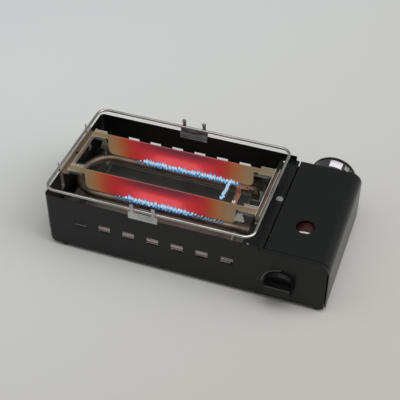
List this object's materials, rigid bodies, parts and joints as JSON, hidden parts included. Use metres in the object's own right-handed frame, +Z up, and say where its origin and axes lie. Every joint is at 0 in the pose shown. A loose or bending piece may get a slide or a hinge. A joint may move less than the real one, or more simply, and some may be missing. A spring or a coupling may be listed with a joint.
{
  "type": "portable gas robata grill",
  "caption": "Portable cassette-gas table grill: U burner under two upright radiant plates in a sheet steel case, with rod frame, drip tray, can bay and control knob.",
  "frame": {"origin": "on the table under the middle of the whole grill, can and knob included", "axes": "+X to the right along the long side, +Y from the knob side to the rear, +Z up"},
  "size_m": [0.416, 0.2424, 0.116],
  "materials": {
    "black_enamel": "satin black heat-proof enamel on steel sheet",
    "bright_steel": "bright plated steel rod",
    "clip_steel": "plain stainless sheet",
    "tinted_steel": "stainless sheet tinted straw by heat",
    "glowing_steel": "heat-proof stainless sheet, red hot in use",
    "burner_steel": "stainless tube browned by heat",
    "tray_steel": "pressed stainless sheet",
    "zinc_steel": "zinc plated steel",
    "brass": "turned brass",
    "cast_alloy": "die-cast body",
    "foot_rubber": "moulded rubber",
    "knob_plastic": "moulded heat-proof plastic",
    "mark_white": "printed index arc",
    "can_paint": "printed tinplate, plain dark",
    "ceramic": "glazed ceramic insulator",
    "lead_sleeve": "silicone sleeved lead",
    "igniter_plastic": "moulded plastic case"
  },
  "bodies": {
    "case": {"case_shell": "black_enamel", "base_plate": "zinc_steel", "feet": "foot_rubber", "deck_plate": "black_enamel", "deck_screw": "zinc_steel", "deck_rivets": "bright_steel", "hinge_knuckles": "zinc_steel", "hinge_pins": "bright_steel", "front_clip": "clip_steel", "rear_clip": "tinted_steel", "left_bracket": "tinted_steel", "right_bracket": "tinted_steel", "burner_tube": "burner_steel", "mixing_tube": "burner_steel", "gas_nozzle": "brass", "cross_lighting_strip": "burner_steel", "partition_wall": "black_enamel", "heat_shield": "zinc_steel", "tray_rails": "zinc_steel", "burner_stays": "tinted_steel", "magnet_ring": "zinc_steel", "regulator_body": "cast_alloy", "dial_ring": "mark_white", "gas_pipe": "brass", "can_cradle": "zinc_steel", "piezo_igniter": "igniter_plastic", "electrode_bracket": "tinted_steel", "electrode_insulator": "ceramic", "electrode_needle": "bright_steel", "igniter_lead": "lead_sleeve", "bracket_screws": "zinc_steel"},
    "knob": {"control_knob": "knob_plastic", "valve_shaft": "zinc_steel"},
    "cover": {"cassette_cover": "black_enamel"},
    "can": {"gas_can": "can_paint", "can_collar": "zinc_steel", "can_stem": "brass"},
    "frame": {"wire_frame": "bright_steel"},
    "front_plate": {"front_radiant_plate": "glowing_steel"},
    "rear_plate": {"rear_radiant_plate": "glowing_steel"},
    "tray": {"drip_tray": "tray_steel", "tray_pull": "black_enamel"}
  },
  "joints": [
    {"name": "knob_turn", "type": "hinge", "parent": "case", "child": "knob", "pos_m": [0.1427, -0.10515, 0.0346], "axis": [0, -1, 0], "range_deg": [-90, 0]},
    {"name": "cover_swing", "type": "hinge", "parent": "case", "child": "cover", "pos_m": [0.1205, -0.00615, 0.0819], "axis": [0, -1, 0], "range_deg": [0, 80]},
    {"name": "can_slide", "type": "slide", "parent": "case", "child": "can", "axis": [0, 1, 0], "range_m": [0, 0.19]},
    {"name": "frame_lift", "type": "slide", "parent": "case", "child": "frame", "axis": [0, 0, 1], "range_m": [0, 0.04]},
    {"name": "front_plate_lift", "type": "slide", "parent": "case", "child": "front_plate", "axis": [0, 0, 1], "range_m": [0, 0.06]},
    {"name": "rear_plate_lift", "type": "slide", "parent": "case", "child": "rear_plate", "axis": [0, 0, 1], "range_m": [0, 0.06]},
    {"name": "tray_slide", "type": "slide", "parent": "case", "child": "tray", "axis": [-1, 0, 0], "range_m": [0, 0.2]}
  ]
}
